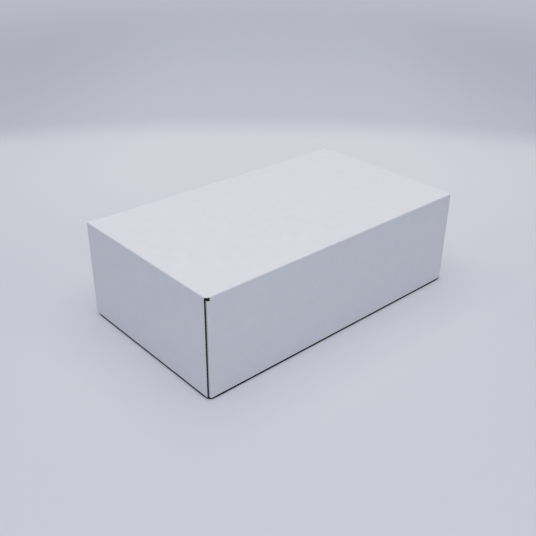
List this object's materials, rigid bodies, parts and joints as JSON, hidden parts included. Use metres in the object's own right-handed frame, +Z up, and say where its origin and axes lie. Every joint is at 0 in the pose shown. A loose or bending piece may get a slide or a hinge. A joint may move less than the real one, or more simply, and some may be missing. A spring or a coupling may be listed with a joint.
{
  "type": "pastry box",
  "caption": "Plain white corrugated pastry box, folded from one sheet, with a full-depth lid that swings on the back wall and closes over a glued tray.",
  "frame": {"origin": "on the table under the middle of the closed box", "axes": "+X along the long walls, +Y from the front wall to the hinged back wall, +Z up"},
  "size_m": [0.28, 0.16, 0.088],
  "materials": {
    "white_board": "matte",
    "grey_fluting": "matte"
  },
  "bodies": {
    "tray": {"base_tray": "white_board"},
    "lid": {"lid": "white_board"}
  },
  "joints": [
    {"name": "lid_hinge", "type": "hinge", "parent": "tray", "child": "lid", "pos_m": [0, 0.07961, 0.08761], "axis": [-1, 0, 0], "range_deg": [0, 213]}
  ]
}
